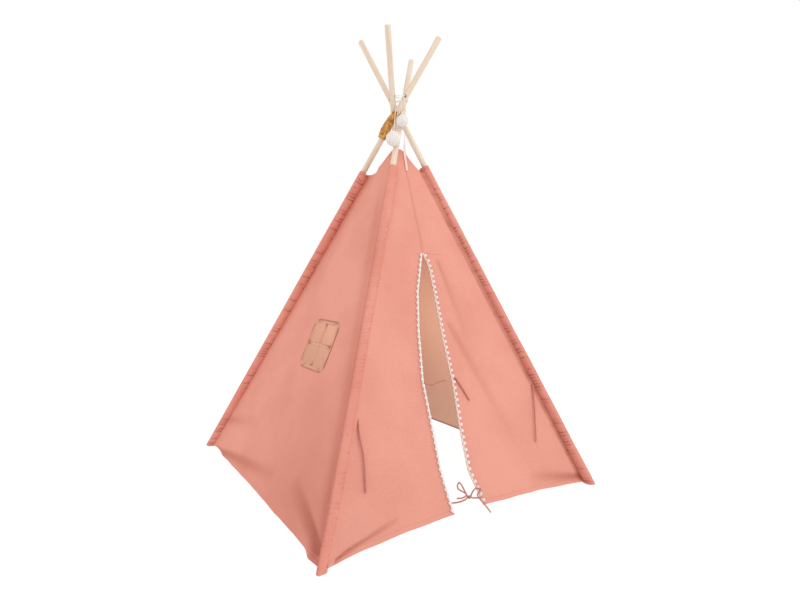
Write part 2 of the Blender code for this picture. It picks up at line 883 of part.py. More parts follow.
crown_path = []
for quarter in range(4):
    middle_turn = (2 * quarter + 1) * math.pi / 4 + math.pi / 4 - foot_turn
    middle_reach = (hole_reach - crown_bend) * math.sqrt(2)
    for step in range(crown_bend_steps + 1):
        turn = middle_turn + (step / crown_bend_steps - 1 / 2) * math.pi / 2
        east = middle_reach * math.cos(middle_turn) + crown_bend * math.cos(turn)
        north = middle_reach * math.sin(middle_turn) + crown_bend * math.sin(turn)
        crown_path.append((east, north, hole_height))
add_cord("crown_cord", crown_path, crown_cord_diameter, "white", crown_pivot, closed=True)
knot_middle = on_crown("back_left", crown_knot_along)
knot = add_ball("crown_knot", knot_middle, crown_knot_radius, "white", crown_pivot, 12, 8)
knot_frame = frame_on(knot_middle, pole_frame("back_left").to_3x3().col[1])
knot_bore = crown_cord_diameter / 2 + fit_gap
knot_rings = [circle(knot_frame, knot_bore, along, round_steps) for along in (-cut_overrun, cut_overrun)]
combine(knot, add_cutter("cut_knot", knot_rings), "DIFFERENCE")

pompoms = {
    "upper": (upper_pompom_place, upper_pompom_radius, upper_pompom_hang),
    "lower": (lower_pompom_place, lower_pompom_radius, lower_pompom_hang),
}
for name, (place, radius, hang) in pompoms.items():
    pivot = on_crown("back_right", hang)
    centre = pole_frame("front_left") @ Vector(place)
    way = (centre - pivot).normalized()
    start = pivot + way * (crown_cord_diameter / 2 + pompom_cord_diameter)
    finish = centre - way * (radius + fit_gap)
    add_ball("pompom_" + name, centre, radius, "white", pivot, 24, 14)
    add_cord("pompom_cord_" + name, [start, finish], pompom_cord_diameter, "white", pivot)

ribbon_path = smooth_route(ribbon_route, ribbon_width)
add_strap("ribbon", ribbon_path, Vector((1, 0, 0)), ribbon_width, ribbon_thickness, "ribbon", crown_pivot)

wrap_frame = pole_frame("back_left")
outer_rows = []
inner_rows = []
for row, share in enumerate(wrap_spread_shares):
    along = wrap_low / math.cos(lean) + row * wrap_row_pitch
    outer_row = []
    inner_row = []
    for step in range(wrap_steps + 1):
        around = 2 * step / wrap_steps - 1
        turn = wrap_middle_turn + around * share * math.pi / 2
        climb = (row + 1) / (len(wrap_spread_shares) + 1)
        swell = wrap_bulge * (1 - around ** 2) * math.sin(math.pi * climb)
        crumple = wrap_crumple * math.sin(5 * turn + 2 * row)
        inner = pole_radius + wrap_clearance
        outer = inner + wrap_thickness + swell + crumple
        outer_row.append(wrap_frame @ Vector((outer * math.cos(turn), outer * math.sin(turn), along)))
        inner_row.append(wrap_frame @ Vector((inner * math.cos(turn), inner * math.sin(turn), along)))
    outer_rows.append(outer_row)
    inner_rows.append(inner_row)
add_plate("wrap", outer_rows, inner_rows, "mustard", hole_of("back_left"))
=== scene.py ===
import math

import bmesh
import bpy
from mathutils import Matrix, Vector, noise


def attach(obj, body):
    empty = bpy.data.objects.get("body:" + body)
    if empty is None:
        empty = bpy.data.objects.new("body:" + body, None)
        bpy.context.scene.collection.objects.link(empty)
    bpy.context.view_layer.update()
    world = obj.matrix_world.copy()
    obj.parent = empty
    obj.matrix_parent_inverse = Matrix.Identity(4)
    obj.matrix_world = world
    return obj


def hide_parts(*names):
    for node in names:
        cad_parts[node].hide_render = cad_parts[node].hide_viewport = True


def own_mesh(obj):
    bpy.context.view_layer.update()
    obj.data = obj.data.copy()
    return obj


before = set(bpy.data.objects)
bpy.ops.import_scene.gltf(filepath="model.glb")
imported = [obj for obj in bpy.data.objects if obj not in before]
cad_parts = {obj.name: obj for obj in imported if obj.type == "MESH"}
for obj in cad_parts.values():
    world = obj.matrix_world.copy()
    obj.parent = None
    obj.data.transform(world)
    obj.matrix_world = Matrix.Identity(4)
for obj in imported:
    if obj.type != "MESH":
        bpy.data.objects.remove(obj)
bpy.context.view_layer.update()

# Camera: the picture is taken from low down, close to the front left corner, looking slightly
# up at the crown with a wide lens that is tipped two degrees.
camera_place = (-1.2033, -1.7902, 0.797)
camera_turn = math.radians(-34.92)
camera_rise = math.radians(2.03)
camera_roll = math.radians(2.04)
focal_length = 22.2
sensor_width = 36
camera_right = Vector((math.cos(camera_turn), math.sin(camera_turn), 0))
camera_back = Vector((
    math.sin(camera_turn) * math.cos(camera_rise),
    -math.cos(camera_turn) * math.cos(camera_rise),
    math.sin(camera_rise),
))
camera_up = camera_back.cross(camera_right)
rolled_right = camera_right * math.cos(camera_roll) + camera_up * math.sin(camera_roll)
rolled_up = camera_up * math.cos(camera_roll) - camera_right * math.sin(camera_roll)
lens = bpy.data.cameras.new("camera")
lens.sensor_width = sensor_width
lens.lens = focal_length
camera = bpy.data.objects.new("camera", lens)
bpy.context.scene.collection.objects.link(camera)
camera.matrix_world = Matrix.Translation(camera_place) @ Matrix(
    (rolled_right, rolled_up, camera_back)
).transposed().to_4x4()
bpy.context.scene.camera = camera

# Poles: four round pine poles, each of two sections pushed into a steel tube ferrule. They lean in
# from the corners and cross below a drilled hole, each passing to one side of the middle.
base_side = 1.20
half_base = base_side / 2
pole_length = 2.07
pole_radius = 0.012
pole_foot_gap = 0.012
hole_from_top = 0.265
hole_reach = 0.036
pole_offset = 0.0185
corner_radius = half_base * math.sqrt(2)
foot_turn = math.asin(pole_offset / corner_radius)
pole_top = pole_foot_gap + pole_length
hole_along = pole_top - hole_from_top
lean = math.asin((corner_radius * math.cos(foot_turn) + hole_reach) / hole_along)
hole_height = hole_along * math.cos(lean)
corner_eighths = {"front_left": 5, "front_right": 7, "back_right": 1, "back_left": 3}
hole_rim = (0.0042, 0.0058)
grain_stretch = 0.035
pine_dark = (0.70, 0.56, 0.435)
pine_light = (0.80, 0.68, 0.555)
figure_shade = (0.92, 0.88, 0.83)
hole_shade = (0.16, 0.09, 0.05)
steel_dark = (0.50, 0.50, 0.51)
steel_light = (0.66, 0.66, 0.67)
plain_white = (1, 1, 1)


def pole_frame(corner):
    """Frame on a pole: long axis up the pole, first axis outward, from the floor."""
    turn = corner_eighths[corner] * math.pi / 4
    corner_way = Vector((math.cos(turn), math.sin(turn), 0))
    outward = Matrix.Rotation(-foot_turn, 3, "Z") @ corner_way
    sideways = Vector((-outward.y, outward.x, 0))
    up = outward * -math.sin(lean) + Vector((0, 0, math.cos(lean)))
    axes = Matrix((sideways.cross(up), sideways, up)).transposed().to_4x4()
    axes.translation = corner_way * corner_radius
    return axes


def new_material(name, roughness):
    """A named material and its shader."""
    material = bpy.data.materials.new(name)
    material.use_nodes = True
    shader = material.node_tree.nodes["Principled BSDF"]
    shader.inputs["Roughness"].default_value = roughness
    return material, material.node_tree, shader


def wire(tree, source, target):
    """Join an output to an input, each given as a node and a socket name."""
    tree.links.new(source[0].outputs[source[1]], target[0].inputs[target[1]])


def object_place(tree):
    """The place on the object, in metres."""
    return tree.nodes.new("ShaderNodeTexCoord"), "Object"


def noise_from(tree, place, scale, detail=2.0):
    """Noise at a place, as an output."""
    pattern = tree.nodes.new("ShaderNodeTexNoise")
    pattern.inputs["Scale"].default_value = scale
    pattern.inputs["Detail"].default_value = detail
    wire(tree, place, (pattern, "Vector"))
    return pattern, "Fac"


def tones_from(tree, source, dark, light, low=0.3, high=0.7):
    """Two colours blended by an output, as an output."""
    ramp = tree.nodes.new("ShaderNodeValToRGB")
    ramp.color_ramp.elements[0].color = (*dark, 1)
    ramp.color_ramp.elements[0].position = low
    ramp.color_ramp.elements[1].color = (*light, 1)
    ramp.color_ramp.elements[1].position = high
    wire(tree, source, (ramp, "Fac"))
    return ramp, "Color"


def mixed(tree, share, under, over, how="MIX"):
    """A colour mixed over another by an output or, where share is None, whole."""
    mix = tree.nodes.new("ShaderNodeMixRGB")
    mix.blend_type = how
    mix.inputs["Fac"].default_value = 1
    if share:
        wire(tree, share, (mix, "Fac"))
    wire(tree, under, (mix, "Color1"))
    if len(over) == 3:
        mix.inputs["Color2"].default_value = (*over, 1)
    else:
        wire(tree, over, (mix, "Color2"))
    return mix, "Color"


def bump_from(tree, height, distance, strength=1.0, under=None):
    """A bump raised by an output, over another bump where there is one."""
    bump = tree.nodes.new("ShaderNodeBump")
    bump.inputs["Distance"].default_value = distance
    bump.inputs["Strength"].default_value = strength
    wire(tree, height, (bump, "Height"))
    if under:
        wire(tree, under, (bump, "Normal"))
    return bump, "Normal"


def dress(node, material):
    """Give a CAD piece that stays in the scene its material."""
    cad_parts[node].data.materials.clear()
    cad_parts[node].data.materials.append(material)


for corner in corner_eighths:
    pine, tree, shader = new_material("pine_" + corner, 0.5)
    turned = tree.nodes.new("ShaderNodeMapping")
    unlean = pole_frame(corner).inverted()
    turned.inputs["Rotation"].default_value = unlean.to_euler()
    turned.inputs["Location"].default_value = unlean.translation
    wire(tree, object_place(tree), (turned, "Vector"))
    stretched = tree.nodes.new("ShaderNodeMapping")
    stretched.inputs["Scale"].default_value = (1, 1, grain_stretch)
    wire(tree, (turned, "Vector"), (stretched, "Vector"))
    grain = noise_from(tree, (stretched, "Vector"), 260, 5)
    tones = tones_from(tree, grain, pine_dark, pine_light, 0.30, 0.68)
    figure = noise_from(tree, (stretched, "Vector"), 42)
    figure[0].inputs["Distortion"].default_value = 0.6
    shade = tones_from(tree, figure, figure_shade, plain_white, 0.36, 0.62)
    side_on = tree.nodes.new("ShaderNodeVectorMath")
    side_on.operation = "MULTIPLY"
    side_on.inputs[1].default_value = (1, 0, 1)
    wire(tree, (turned, "Vector"), (side_on, 0))
    # painted shade: a dark disc with a soft rim where the drilled hole opens on each side of the
    # pole
    from_hole = tree.nodes.new("ShaderNodeVectorMath")
    from_hole.operation = "DISTANCE"
    from_hole.inputs[1].default_value = (0, 0, hole_along)
    wire(tree, (side_on, "Vector"), (from_hole, 0))
    hole_shadow = tones_from(tree, (from_hole, "Value"), hole_shade, plain_white, *hole_rim)
    colour = mixed(tree, None, mixed(tree, None, tones, shade, "MULTIPLY"), hole_shadow, "MULTIPLY")
    wire(tree, colour, (shader, "Base Color"))
    wire(tree, bump_from(tree, grain, 0.0002, 0.25), (shader, "Normal"))
    dress("pole_" + corner + "_lower", pine)
    dress("pole_" + corner + "_upper", pine)
    steel, tree, shader = new_material("ferrule_steel_" + corner, 0.35)
    shader.inputs["Metallic"].default_value = 1
    drawn = noise_from(tree, object_place(tree), 300)
    wire(tree, tones_from(tree, drawn, steel_dark, steel_light), (shader, "Base Color"))
    dress("ferrule_" + corner, steel)

# Pole sleeves: the seam allowance of the cover's corners folded round each pole and stitched into
# a flat-sided tube. The cover pulls it inward, it puckers across, and its foot is sewn shut.
sleeve_across = 0.046
sleeve_deep = 0.044
sleeve_wall = 0.0016
sleeve_pole_gap = 0.0006
sleeve_slack = sleeve_deep / 2 - sleeve_wall - sleeve_pole_gap - pole_radius
bare_length = 0.618
mouth_along = pole_top - bare_length
sleeve_dark = (0.690, 0.255, 0.195)
sleeve_light = (0.765, 0.315, 0.245)
inside_glow_colour = (0.60, 0.36, 0.265)
slub_shade = (0.90, 0.88, 0.87)
doubled_shade = (0.66, 0.55, 0.53)
crease_shade = (0.62, 0.50, 0.46)
stitch_shade = (0.86, 0.80, 0.78)
stitch_line = 0.0009
stitch_pitch = 0.0022
stitch_gap = 0.0007
sewn_wall = 0.0012


def worked_out(tree, operation, *terms):
    """Outputs and plain numbers put through one sum, as an output."""
    node = tree.nodes.new("ShaderNodeMath")
    node.operation = operation
    for socket, term in enumerate(terms):
        if isinstance(term, tuple):
            wire(tree, term, (node, socket))
        else:
            node.inputs[socket].default_value = term
    return node, "Value"


def canvas(name, dark, light, hem_line):
    """Woven cotton: weave and slubs, painted shade where a mesh layer asks for it, a paler inside
    painted for the glow of light through the canvas, and stitches along a hem.
    """
    material, tree, shader = new_material(name, 0.92)
    shader.inputs["Specular IOR Level"].default_value = 0.03
    place = object_place(tree)
    maps = {}
    marks = {}
    for layer in ("cut", "hem"):
        maps[layer] = tree.nodes.new("ShaderNodeUVMap")
        maps[layer].uv_map = layer
    for layer in ("crease", "inside"):
        marks[layer] = tree.nodes.new("ShaderNodeAttribute")
        marks[layer].attribute_name = layer
    from_hem = tree.nodes.new("ShaderNodeSeparateXYZ")
    wire(tree, (maps["hem"], "UV"), (from_hem, "Vector"))
    tones = tones_from(tree, noise_from(tree, place, 5, 6), dark, light, 0.30, 0.62)
    slubs = tones_from(tree, noise_from(tree, place, 420), slub_shade, plain_white, 0.35, 0.6)
    colour = mixed(tree, None, tones, slubs, "MULTIPLY")
    # painted shade: a darker colour mixed in by a mesh layer that each piece sets where shade
    # falls
    painted_shade_colour = [tone * share for tone, share in zip(dark, crease_shade)]
    colour = mixed(tree, (marks["crease"], "Fac"), colour, painted_shade_colour)
    # painted light: the inside of the canvas is paler, for the glow of light coming through it
    colour = mixed(tree, (marks["inside"], "Fac"), colour, inside_glow_colour)
    # painted shade: on the inside the doubled hem is darker, as less light comes through two
    # layers
    doubled = tones_from(tree, (from_hem, "Y"), doubled_shade, plain_white, 0.010, 0.014)
    colour = mixed(tree, (marks["inside"], "Fac"), colour, doubled, "MULTIPLY")
    on_line = worked_out(tree, "COMPARE", (from_hem, "Y"), hem_line, stitch_line)
    pitch = worked_out(tree, "PINGPONG", (from_hem, "X"), stitch_pitch)
    dash = worked_out(tree, "GREATER_THAN", pitch, stitch_gap)
    stitch = worked_out(tree, "MULTIPLY", on_line, dash)
    sewn = [tone * share for tone, share in zip(dark, stitch_shade)]
    colour = mixed(tree, stitch, colour, sewn)
    wire(tree, colour, (shader, "Base Color"))
    threads = []
    for direction in ("X", "Y"):
        thread = tree.nodes.new("ShaderNodeTexWave")
        thread.bands_direction = direction
        thread.inputs["Scale"].default_value = 240
        thread.inputs["Distortion"].default_value = 0.4
        wire(tree, (maps["cut"], "UV"), (thread, "Vector"))
        threads.append((thread, "Fac"))
    weave = worked_out(tree, "MULTIPLY", *threads)
    rumple = noise_from(tree, place, 16, 7)
    rumple[0].inputs["Roughness"].default_value = 0.55
    soft_bump = bump_from(tree, rumple, 0.004, 0.35)
    wire(tree, bump_from(tree, weave, 0.0002, 0.6, soft_bump), (shader, "Normal"))
    return material


def canvas_layers(work):
    """The layers that a canvas reads: its cut, the way along and from its hem, and its painted
    shade.
    """
    maps = work.loops.layers.uv
    return maps.new("cut"), maps.new("hem"), work.verts.layers.float.new("crease")


def smoothstep(low, high, value):
    """Soft step from 0 to 1."""
    share = min(max((value - low) / (high - low), 0), 1)
    return share * share * (3 - 2 * share)


def blend(low, high, share):
    """Value between two others."""
    return low + (high - low) * share


def finish_piece(name, work, material, body, nodes, wall=0.0):
    """Turn a bmesh into a smooth piece that rides on a body and replaces its CAD nodes."""
    work.normal_update()
    facing = sum((face.normal for face in work.faces), Vector())
    if wall:
        bmesh.ops.solidify(work, geom=list(work.faces), thickness=wall)
        bmesh.ops.recalc_face_normals(work, faces=work.faces)
    if "inside" in work.verts.layers.float:
        work.normal_update()
        inside = work.verts.layers.float["inside"]
        outward = sum((facing.dot((vertex.co.x, vertex.co.y, 0)) for vertex in work.verts))
        for vertex in work.verts:
            vertex[inside] = 1 if vertex.normal.dot(facing) * outward < 0 else 0
    mesh = bpy.data.meshes.new(name)
    work.to_mesh(mesh)
    work.free()
    mesh.materials.append(material)
    for polygon in mesh.polygons:
        polygon.use_smooth = True
    mesh.set_sharp_from_angle(angle=math.radians(60))
    piece = bpy.data.objects.new(name, mesh)
    bpy.context.scene.collection.objects.link(piece)
    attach(piece, body)
    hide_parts(*nodes)
    return piece


sleeve_hem = 0.011
sleeve_canvas = canvas("sleeve_canvas", sleeve_dark, sleeve_light, sleeve_hem)
sleeve_cell = 0.0032
around_count = 56
pocket_rows = 3
sleeve_flat = 0.142
pucker_pitch = 0.0135
pucker_width = 0.0027
pucker_depth = 0.0034
gather_height = 0.024
gather_spread = 0.012
cloth_off_pole = 0.0026
sleeve_fits = {
    # drop of the mouth, slack at the foot, puckers, gather at the foot, painted shade, tightness
    "front_left": (0.018, 1, 0.6, 0, 0, 0.0085),
    "front_right": (-0.022, 1, 1, 1, 0.36, 0),
    "back_right": (0, 1, 0.8, 0.8, 0.2, 0),
    "back_left": (0.012, -1, 1, 1, 0.06, 0),
}
for corner, fit in sleeve_fits.items():
    mouth_drop, foot_slack, pucker_share, gather_share, shade_share, tightness = fit
    axes = pole_frame(corner)
    seed = corner_eighths[corner] * 7.3
    mouth = mouth_along - mouth_drop
    rows = round(mouth / sleeve_cell)
    work = bmesh.new()
    bmesh.ops.create_grid(work, x_segments=around_count, y_segments=rows, size=1)
    cut, hem, crease = canvas_layers(work)
    places = {vertex: ((vertex.co.x + 1) / 2, (vertex.co.y + 1) / 2) for vertex in work.verts}
    for face in work.faces:
        for loop in face.loops:
            turn_share, along_share = places[loop.vert]
            loop[cut].uv = (turn_share * sleeve_flat, along_share * mouth)
            loop[hem].uv = (turn_share * sleeve_flat, (1 - along_share) * mouth)
    for vertex, (turn_share, along_share) in places.items():
        turn = 2 * math.pi * turn_share
        along = along_share * mouth
        way = Vector((math.cos(turn), math.sin(turn), 0))
        # puckers run across the sleeve in uneven rows and crowd together over the foot
        sway = 0.006 * noise.noise(Vector((way.x * 1.3, way.y * 1.3, along * 9 + seed)))
        line = (along + sway) / pucker_pitch
        pull = noise.noise(Vector((seed, way.y * 0.6, round(line) * 0.83)))
        bunch = noise.noise(Vector((seed + 3, way.y * 0.3, along * 7)))
        pucker = smoothstep(0.05, 0.30, pull + bunch * 0.6) * pucker_share
        pucker *= math.exp(-((line - round(line)) * pucker_pitch / pucker_width) ** 2)
        gathered = math.exp(-((along - gather_height) / gather_spread) ** 2) * gather_share
        pucker = min(pucker + gathered * (0.6 + 0.4 * math.sin(along * 420 + way.y * 2.5)), 1)
        fine = noise.noise(Vector((way.x * 1.8, way.y * 1.8, along * 120 + seed)))
        slow = noise.noise(Vector((way.x, way.y, along * 6 + seed * 2)))
        rim = smoothstep(mouth - sleeve_hem - 0.002, mouth - sleeve_hem, along)
        inner = smoothstep(0.75, -0.1, way.x)
        # puckers are deepest on the side of the cover, and a stitched hem stiffens the mouth
        dent = 0.0008 + pucker_depth * pucker * (0.4 + 0.6 * inner) * (1 - 0.8 * rim)
        dent += (0.0005 * fine + 0.0016 * slow) * (1 - 0.8 * rim)
        dent += 0.0009 * math.exp(-((along - mouth + 0.0115) / 0.0016) ** 2)
        low_down = 0.6 * smoothstep(0.25, 0, along) * smoothstep(-0.3, 0.3, way.y)
        slim = tightness * (smoothstep(0.15, -0.35, way.y) + low_down)
        # painted shade: deepest on the side towards the cover, in the puckers and over the mouth's
        # hem
        shade = shade_share * inner + 0.12 * rim
        # the front left sleeve's painted shade lies instead on its side towards the left panel,
        # turned away from the light, fading out at the mouth
        if tightness:
            shade = 0.50 * smoothstep(-0.10, -0.75, way.y) * smoothstep(mouth, mouth - 0.15, along)
        vertex[crease] = min(shade + pucker * (0.30 + 0.45 * inner), 1)
        # the sleeve hangs slack to one side of its pole, and closes below the pole's foot
        shift = sleeve_slack * blend(foot_slack, -1, along_share)
        reach = 1
        if along_share * rows < pocket_rows:
            reach = 0.02 + 0.98 * along_share * rows / pocket_rows
            shift = sleeve_slack * foot_slack
        out = shift + (sleeve_deep / 2 - dent - slim) * math.cos(turn) * reach
        side = (sleeve_across / 2 - dent - slim) * math.sin(turn) * reach
        if reach == 1:
            stretch = max(1, (pole_radius + cloth_off_pole) / math.hypot(out, side))
            out, side = out * stretch, side * stretch
        climb = max(along_share * rows - pocket_rows, 0) / (rows - pocket_rows)
        foot = -out * math.tan(lean)
        if tightness:
            foot += 0.005 * smoothstep(-0.8, 0.8, way.y)
        vertex.co = axes @ Vector((out, side, blend(foot, mouth, climb)))
    bmesh.ops.remove_doubles(work, verts=work.verts, dist=0.00005)
    bottom = [edge for edge in work.edges if edge.is_boundary and edge.verts[0].co.z < 0.02]
    bmesh.ops.holes_fill(work, edges=bottom, sides=0)
    bmesh.ops.recalc_face_normals(work, faces=work.faces)
    area = sum(face.calc_area() for face in work.faces)
    name = "canvas_sleeve_" + corner
    body = "frame_" + corner
    nodes = ["sleeve_" + corner]
    sleeve = finish_piece(name, work, sleeve_canvas, body, nodes, wall=sewn_wall)
    held_by = ["pole_" + corner + "_lower"]

# Cover: flat-cut canvas panels sewn to the sleeves, turned up in a stitched hem along the floor
# and round the neck. The front is two panels that meet in a seam above the door.
canvas_dark = (0.735, 0.305, 0.235)
canvas_light = (0.785, 0.345, 0.268)
cover_hem = 0.014
cover_apex_height = 1.505
neck_height = 1.266
peak_rise = 0.088
neck_dip = 0.040
cover_slope = math.atan(half_base / cover_apex_height)
side_quarters = {"front": 0, "left": -1, "back": 2, "right": 1}
slit_apex_height = 0.914
slit_reach = 0.132
crease_start = 0.030
left_crease_reach = 0.47
right_crease_reach = 0.33
slit_left_shares = [
    (1, 0.15), (0.968, 0.23), (0.88, 0.46), (0.831, 0.585), (0.683, 0.81),
    (0.496, 1), (0.352, 0.985), (0.182, 0.977), (0, 0.8),
]
slit_right_shares = [
    (1, 0.14), (0.984, 0.12), (0.967, 0.05), (0.92, 0.01), (0.845, 0.02), (0.64, 0.053),
    (0.485, 0.03), (0.30, 0.114), (0.161, 0.121), (0, -0.26),
]
seam_across = -0.013
seam_start = 0.0008
window_across = 0.0885
window_width = 0.186
window_low = 0.468
window_high = 0.632
# each fold: start and finish as across and height, rise off the face, width, and the depth of
# painted shade along it
fold_lines = {
    "front": [
        ((-0.562, 0.004), (-0.36, 0.046), 0.006, 0.012, 0),
        ((-0.562, 0.0175), (-0.34, 0.066), -0.006, 0.0055, 0.95),
        ((0.585, 0.026), (0.30, 0.074), -0.009, 0.013, 0.75),
        ((0.57, 0.010), (0.348, 0.040), 0.006, 0.013, 0),
        ((-0.06, 1.204), (-0.252, 0.677), 0.005, 0.028, 0),
        ((0.052, 0.885), (0.118, 0.60), -0.008, 0.013, 0.42),
        ((0.085, 0.880), (0.200, 0.45), 0.007, 0.022, 0),
        ((0.042, 0.640), (0.235, 0.240), -0.007, 0.018, 0.32),
    ],
    "left": [
        ((0.556, 0.030), (0.30, 0.120), -0.013, 0.016, 0.75),
        ((0.545, 0.010), (0.30, 0.080), 0.008, 0.020, 0),
        ((-0.54, 0.002), (0.10, 0.092), -0.012, 0.015, 0.70),
        ((-0.52, -0.020), (0.10, 0.055), 0.006, 0.018, 0),
        ((-0.50, 0.14), (-0.20, 0.20), -0.006, 0.020, 0.35),
        ((0.06, 1.204), (0.288, 0.632), 0.006, 0.028, 0),
    ],
    "right": [
        ((-0.54, 0.022), (-0.252, 0.21), 0.010, 0.028, 0.1),
        ((0.528, 0.022), (0.30, 0.15), 0.010, 0.028, 0.1),
    ],
    "back": [
        ((-0.54, 0.022), (-0.30, 0.15), 0.010, 0.028, 0.1),
        ((0.54, 0.022), (0.228, 0.24), 0.010, 0.028, 0.1),
    ],
}
front_peak_shares = [(1, 0), (0.83, 0.02), (0.51, 0.89), (0.30, 1), (0, 0.90)]
left_peak_shares = [
    (1, 0.90), (0.80, 0.69), (0.64, 0.40), (0.486, 0.12), (0.37, -0.03), (0, -0.05),
]


def half_width(height):
    """Half of the cover's width at a height."""
    return half_base * (1 - height / cover_apex_height)


def on_side(side, across, height, lift):
    """Place on one side of the cover, lifted off its face."""
    depth = half_width(height) + lift * math.cos(cover_slope)
    place = Vector((across, -depth, height + lift * math.sin(cover_slope)))
    return Matrix.Rotation(side_quarters[side] * math.pi / 2, 3, "Z") @ place


def read_shares(table, share):
    """Value of a falling share table at one share."""
    for (above, first), (below, second) in zip(table, table[1:]):
        if share >= below:
            return blend(second, first, (share - below) / (above - below))
    return table[-1][1]


def slit_edge(shares):
    """An edge of the door slit, as a function of the height."""
    return lambda height: -slit_reach * read_shares(shares, height / slit_apex_height)


slit_left = slit_edge(slit_left_shares)
slit_right = slit_edge(slit_right_shares)


def crease_at(reach, height):
    """Distance of a door crease from the middle."""
    return blend(reach, crease_start, height / slit_apex_height)


def above_door(height):
    """0 beside the door, 1 above its point."""
    return min(max((height - slit_apex_height) / seam_start, 0), 1)


def seam_or_crease(reach, height):
    """Edge of a front panel: the crease beside the door, the middle seam above it."""
    return blend(crease_at(reach, height), 0, above_door(height))


def middle_seam(height):
    """Place of the front's middle seam, just left of the middle above the door."""
    return seam_across * above_door(height)


def on_fold(start, finish, width, across, height):
    """Nearness to a fold line, 1 on it, and the share of the way from its start."""
    line = Vector(finish) - Vector(start)
    from_start = Vector((across, height)) - Vector(start)
    along = min(max(from_start.dot(line) / line.length_squared, 0), 1)
    away = (from_start - line * along).length / (width * (0.7 + 0.8 * along))
    return math.exp(-away ** 2), along


def front_corner_rise(across, height):
    """Lift of the front canvas where it turns round the front left pole."""
    width = 0.085 - 0.048 * math.exp(-((height - 0.27) / 0.14) ** 2)
    rise = blend(0.0215, 0.007, smoothstep(0.80, 1.05, height))
    return rise * (1 - smoothstep(0, width, half_width(height) + across))


def cloth_lift(side, across, height):
    """How far the canvas stands off its flat plane: main folds, slack and small ripples."""
    seed = 10 * side_quarters[side]
    from_seam = half_width(height) - abs(across)
    lift = 0
    for start, finish, rise, width, dark in fold_lines[side]:
        near, along = on_fold(start, finish, width, across, height)
        lift += rise * near * (0.35 + 0.65 * math.sin(math.pi * min(along * 0.8 + 0.2, 1)))
    slack = noise.noise(Vector((across * 2.4, height * 1.7, seed))) * smoothstep(0, 0.2, from_seam)
    small = noise.noise(Vector((across * 9, height * 6, seed + 5)))
    tug = noise.noise(Vector((across * 5, height * 34, seed + 9))) * math.exp(-from_seam / 0.04)
    lift += 0.006 * slack + 0.0013 * small + 0.0022 * tug
    flat = 1
    if side == "front" and height < slit_apex_height + 0.05:
        # the door's edges and creases lie flatter
        beside = min(
            abs(across + crease_at(left_crease_reach, height)),
            abs(across - crease_at(right_crease_reach, height)),
            abs(across - slit_left(height)),
            abs(across - slit_right(height)),
        )
        flat = blend(0.15, 1, smoothstep(0.0, 0.06, beside))
    if side == "left":
        # the window's tapes hold the canvas flat
        beside = max(abs(across - window_across) - 0.11, abs(height - 0.55) - 0.10)
        flat = smoothstep(0.0, 0.05, beside)
    if side == "left" and across > 0:
        # a valley beside the front left pole, with the hem standing out at its foot
        valley = math.exp(-((from_seam - 0.034) / 0.022) ** 2) * smoothstep(1.3, 1.0, height)
        lift -= 0.012 * valley * smoothstep(0, 0.10, height)
        lift += 0.018 * math.exp(-((from_seam - 0.045) / 0.045) ** 2) * smoothstep(0.08, 0, height)
    if side == "left" and across < 0:
        # the canvas is drawn in beside the back left pole and rolls over its seam
        lift -= 0.013 * (1 - smoothstep(0.0, 0.18, from_seam))
        lift += 0.007 * math.exp(-((from_seam - 0.020) / 0.010) ** 2)
    if side == "front" and across < 0:
        return lift * flat + front_corner_rise(across, height)
    return lift * flat


def cloth_painted_shade(side, across, height):
    """How much painted shade the canvas gets: in its folds, at its seams, beside the poles and up
    at the neck.
    """
    from_seam = half_width(height) - abs(across)
    fold_shade = 0
    for start, finish, rise, width, dark in fold_lines[side]:
        near, along = on_fold(start, finish, width, across, height)
        fold_shade = max(fold_shade, dark * near * (1 - 0.75 * along))
    pucker = noise.noise(Vector((across * 4, height * 46, 3 * side_quarters[side])))
    band = 0
    if side != "left":
        # painted shade along the puckered seam of a sleeve
        band = (0.58 + 0.5 * max(pucker, 0)) * (1 - smoothstep(0.031, 0.040, from_seam))
    if side == "left" and across > 0:
        # the shade of the front left pole
        band = (0.21 + 0.14 * smoothstep(0.65, 0.1, height)) * smoothstep(1.36, 1.1, height)
        band *= math.exp(-(max(from_seam - 0.015, 0) / 0.050) ** 2)
    # painted shade over the lower part of the left side, deepest at its foot beside the front left
    # pole
    if side == "left":
        band += 0.38 * smoothstep(0.75, 0, height) * smoothstep(-0.45, 0.45, across)
    if side == "front" and across < 0:
        # painted shadow along the seam above the door, and painted shade at the foot of the front
        # left pole
        seam = math.exp(-((across - seam_across) / 0.004) ** 2)
        band = 0.34 * seam * smoothstep(slit_apex_height, slit_apex_height + 0.02, height)
        band += 0.16 * smoothstep(0.35, 0, height) * smoothstep(-0.2, -0.5, across)
    # painted shade at the foot of the front right pole
    if side == "front" and across > 0:
        band += 0.12 * smoothstep(0.35, 0, height) * smoothstep(0.2, 0.5, across)
    # painted shade up at the neck, deepest towards the top hem
    neck = 0.32 * smoothstep(1.29, 1.345, height)
    return min(fold_shade + band + neck, 1)


def hem_height(side, across):
    """Height of the bottom hem: low at the corners, arched between them."""
    rise = 0.028 if side == "front" else 0.007
    wave = 0.0022 * noise.noise(Vector((across * 11, 3 * side_quarters[side], 0)))
    return 0.006 + rise * (1 - (across / half_base) ** 2) + wave


def top_height(side, across, height):
    """Height of the top hem, which climbs to a peak behind the front left pole."""
    share = min(max((across / half_width(height) + 1) / 2, 0), 1)
    if side == "front":
        return neck_height + peak_rise * read_shares(front_peak_shares, share)
    if side == "left":
        return neck_height + peak_rise * read_shares(left_peak_shares, share)
    return neck_height - neck_dip * share * (1 - share)


cloth_cell = 0.009
sheet_length = 1.2
share_below_point = 0.68


